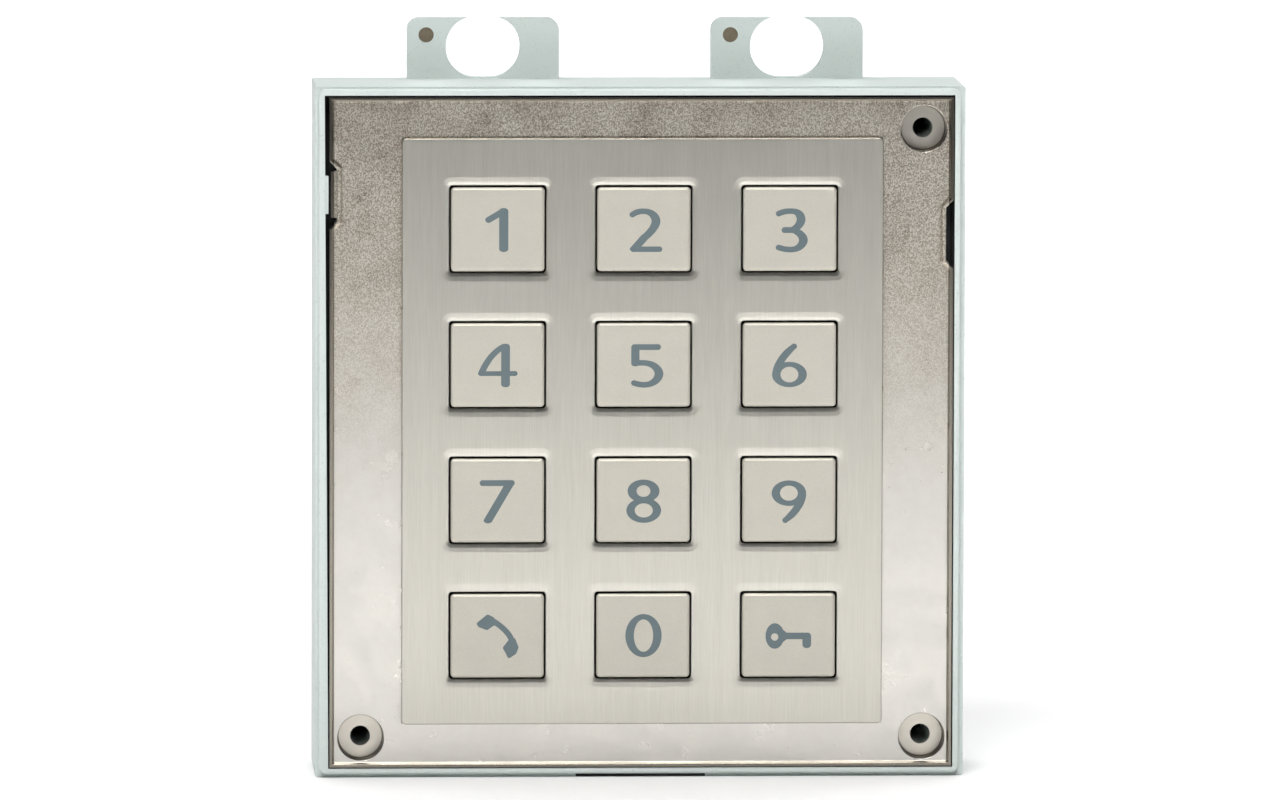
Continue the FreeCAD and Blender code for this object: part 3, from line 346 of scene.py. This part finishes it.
def build_materials():
    case = case_plastic()
    rubber = moulded("black_rubber_and_slot_shade", (0.012, 0.012, 0.012), (0.03, 0.03, 0.03), 0.7)
    legend = moulded("legend_resin", (0.105, 0.145, 0.16), (0.14, 0.185, 0.20), 0.4, 3000.0)
    board = moulded("board_laminate", (0.005, 0.06, 0.03), (0.01, 0.09, 0.04), 0.35)
    led = moulded("led_body", (0.75, 0.70, 0.5), (0.85, 0.82, 0.66), 0.3)
    chip = moulded("chip_body", (0.01, 0.01, 0.011), (0.02, 0.02, 0.022), 0.5)
    small = moulded("small_parts", (0.2, 0.14, 0.08), (0.36, 0.27, 0.18), 0.4)
    socket = moulded("socket_plastic", (0.68, 0.66, 0.58), (0.76, 0.74, 0.67), 0.45)
    gold = plated("contact_metal", (0.75, 0.52, 0.2), (0.85, 0.62, 0.3), 0.25)
    steel = plated("screw_steel", (0.5, 0.5, 0.49), (0.62, 0.62, 0.6), 0.32)
    pin = plated("pin_metal", (0.23, 0.19, 0.13), (0.38, 0.32, 0.24), 0.4)
    looks = {
        "rear_case": case,
        "front_plate": plate_metal(),
        "perimeter_gasket": rubber,
        # painted shade: the bottom strip's black stands in for the shade inside the slot in the
        # bottom wall
        "bottom_strip": rubber,
        "circuit_board": board,
        "backlight_leds": led,
        "microcontroller": chip,
        "passive_components": small,
        "left_bus_socket": socket,
        "right_bus_socket": socket,
        "left_socket_pins": gold,
        "right_socket_pins": gold,
        "board_screws": steel,
        "case_screws": steel,
        "ear_pins": pin,
        "screw_seals": rubber,
    }
    cap = key_metal()
    for name in nodes:
        if name.endswith("_cap"):
            looks[name] = cap
        elif name.endswith("_legend"):
            looks[name] = legend
    return looks


def dress_nodes():
    for name, material in build_materials().items():
        slots = nodes[name].data.materials
        slots.clear()
        slots.append(material)


# ---- the silicone mat, cut into a sheet and one dome per key (mm, depths from the rear face) ------

SHEET_SIZE = (68.0, 84.0)
SHEET_BACK = 14.6
SHEET_FRONT = 15.8
SHEET_HOLE = 3.0
SHEET_CORNER = 2.0
DOME_TOP = 18.2
# (radius, depth) from the dome's foot to its top
DOME_PROFILE = ((5.4, SHEET_FRONT), (5.2, 16.1), (4.6, 17.2), (4.35, 17.9), (4.1, DOME_TOP))
PLUNGER_TOP = 21.7
PLUNGER_HALF = (4.0, 3.5)
PLUNGER_OVERLAP = 0.3
PLUNGER_BEVEL = 0.25
# the middle of the key grid, and its pitch across and upward
GRID = (0.38, 0.12)
PITCH = (21.9, 20.4)
KEY_ROWS = (("1", "2", "3"), ("4", "5", "6"), ("7", "8", "9"), ("handset", "0", "symbol"))


def new_piece(name, mesh, material):
    data = bpy.data.meshes.new(name)
    mesh.normal_update()
    mesh.to_mesh(data)
    mesh.free()
    piece = bpy.data.objects.new(name, data)
    piece.data.materials.append(material)
    bpy.context.scene.collection.objects.link(piece)
    return piece


def loop_at(mesh, points, depth):
    return [mesh.verts.new((x * MM, -depth * MM, z * MM)) for x, z in points]


def skin(mesh, lower, upper):
    """A band of faces between two loops of as many points."""
    count = len(lower)
    for index in range(count):
        following = (index + 1) % count
        mesh.faces.new((lower[index], lower[following], upper[following], upper[index]))


def ring_points(x, z, radius, count=32):
    angles = [2.0 * math.pi * index / count for index in range(count)]
    return [(x + radius * math.cos(angle), z + radius * math.sin(angle)) for angle in angles]


def box_points(x, z, half_width, half_height, corner=0.8, steps=4):
    """A rectangle with rounded corners, anticlockwise."""
    points = []
    for quarter in range(4):
        right = 1 if quarter in (0, 3) else -1
        up = 1 if quarter in (0, 1) else -1
        for step in range(steps + 1):
            angle = math.pi / 2.0 * (quarter + step / steps)
            points.append((x + right * (half_width - corner) + corner * math.cos(angle),
                           z + up * (half_height - corner) + corner * math.sin(angle)))
    return points


def mat_sheet(material):
    """The flat sheet, with a round hole at each board post."""
    x, z = GRID
    mesh = bmesh.new()
    outline = box_points(x, z, SHEET_SIZE[0] / 2, SHEET_SIZE[1] / 2, SHEET_CORNER)
    holes = [ring_points(x + side * PITCH[0] / 2, z + up * PITCH[1], SHEET_HOLE)
             for side in (-1, 1) for up in (-1, 1)]
    for depth in (SHEET_BACK, SHEET_FRONT):
        edges = []
        for points in [outline] + holes:
            loop = loop_at(mesh, points, depth)
            edges += [mesh.edges.new(pair) for pair in zip(loop, loop[1:] + loop[:1])]
        bmesh.ops.triangle_fill(mesh, edges=edges, use_beauty=True)
    mesh.verts.ensure_lookup_table()
    half = len(mesh.verts) // 2
    start = 0
    for points in [outline] + holes:
        count = len(points)
        lower = mesh.verts[start:start + count]
        upper = mesh.verts[half + start:half + start + count]
        skin(mesh, lower, upper)
        start += count
    bmesh.ops.recalc_face_normals(mesh, faces=mesh.faces)
    return new_piece("mat_sheet", mesh, material)


def mat_dome(key, x, z, material):
    """A round dome with the plunger that pushes the key's cap."""
    mesh = bmesh.new()
    loops = [loop_at(mesh, ring_points(x, z, radius), depth) for radius, depth in DOME_PROFILE]
    for lower, upper in zip(loops, loops[1:]):
        skin(mesh, lower, upper)
    mesh.faces.new(loops[0])
    mesh.faces.new(loops[-1])
    block = [loop_at(mesh, box_points(x, z, *PLUNGER_HALF), depth)
             for depth in (DOME_TOP - PLUNGER_OVERLAP, PLUNGER_TOP - PLUNGER_BEVEL)]
    tip_half = [half - PLUNGER_BEVEL for half in PLUNGER_HALF]
    block.append(loop_at(mesh, box_points(x, z, *tip_half), PLUNGER_TOP))
    for lower, upper in zip(block, block[1:]):
        skin(mesh, lower, upper)
    mesh.faces.new(block[0])
    mesh.faces.new(block[-1])
    bmesh.ops.recalc_face_normals(mesh, faces=mesh.faces)
    return new_piece(f"mat_dome_{key}", mesh, material)


def silicone_mat():
    material = moulded("silicone", (0.55, 0.56, 0.54), (0.66, 0.67, 0.65), 0.5)
    sheet = mat_sheet(material)
    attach(sheet, "housing")
    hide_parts("silicone_mat")
    for row, names in enumerate(KEY_ROWS):
        for column, key in enumerate(names):
            x = GRID[0] + (column - 1) * PITCH[0]
            z = GRID[1] + (1.5 - row) * PITCH[1]
            dome = mat_dome(key, x, z, material)
            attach(dome, "housing")
            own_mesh(dome)


# ---- studio --------------------------------------------------------------------------------------

def pale_floor():
    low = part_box("rear_case")[0]
    bpy.ops.mesh.primitive_plane_add(size=30.0, location=(0.0, 0.0, low.z))
    floor = bpy.context.object
    floor.name = "floor"
    surface = Surface("floor_paper", Roughness=0.9)
    surface.colour(surface.blend(surface.noise(3.0, 3.0), (0.86, 0.86, 0.86), (0.9, 0.9, 0.9)))
    floor.data.materials.append(surface.material)


def area_light(name, place, aim, size, power, spread, mirrored=True):
    """A rectangular soft light; spread is the full angle of its beam in degrees.

    Metal shows the lamp itself only where mirrored is true.
    """
    data = bpy.data.lights.new(name, "AREA")
    data.shape = "RECTANGLE"
    data.size, data.size_y = size
    data.energy = power
    data.spread = math.radians(spread)
    lamp = bpy.data.objects.new(name, data)
    lamp.location = place
    lamp.visible_glossy = mirrored
    direction = Vector(aim) - Vector(place)
    lamp.rotation_euler = direction.to_track_quat("-Z", "Y").to_euler()
    bpy.context.scene.collection.objects.link(lamp)


def studio_light():
    world = bpy.data.worlds.new("studio")
    world.use_nodes = True
    background = world.node_tree.nodes["Background"].inputs
    background["Color"].default_value = (1.0, 1.0, 1.0, 1.0)
    background["Strength"].default_value = 0.03
    bpy.context.scene.world = world
    # name, place, aim, size, watts, beam in degrees
    area_light("overhead", (0.0, 0.2, 1.5), (0.0, 0.1, 0.0), (1.6, 1.0), 1.7, 100.0)
    area_light("backdrop", (0.0, 2.1, 1.8), (0.0, 2.1, 0.0), (5.0, 3.2), 115.0, 110.0, False)
    area_light("front", (-0.2, -1.1, 1.3), (0.0, 0.0, 0.0), (0.9, 0.6), 2.1, 50.0)
    area_light("floor", (0.0, -0.41, 0.6), (0.0, -0.41, 0.0), (1.4, 0.6), 2.95, 32.0)


def camera():
    """Two metres away, a little to the left of and above the object, through a long lens."""
    distance = 2.0
    left_turn = math.radians(2.9)
    rise = math.radians(5.3)
    roll = math.radians(0.15)
    view_width = 190.65 * MM
    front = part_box("front_plate")[0].y
    target = Vector((-0.8 * MM, front, 5.0 * MM))
    data = bpy.data.cameras.new("camera")
    data.sensor_width = 36.0
    data.lens = data.sensor_width * distance / view_width
    data.clip_end = 60.0
    eye = bpy.data.objects.new("camera", data)
    away = Vector((-math.sin(left_turn) * math.cos(rise), -math.cos(left_turn) * math.cos(rise),
                   math.sin(rise)))
    eye.location = target + distance * away
    eye.rotation_euler = (-away).to_track_quat("-Z", "Y").to_euler()
    eye.rotation_euler.rotate_axis("Z", roll)
    bpy.context.scene.collection.objects.link(eye)
    bpy.context.scene.camera = eye


dress_nodes()
silicone_mat()
pale_floor()
studio_light()
camera()
bpy.context.scene.view_settings.view_transform = "Standard"
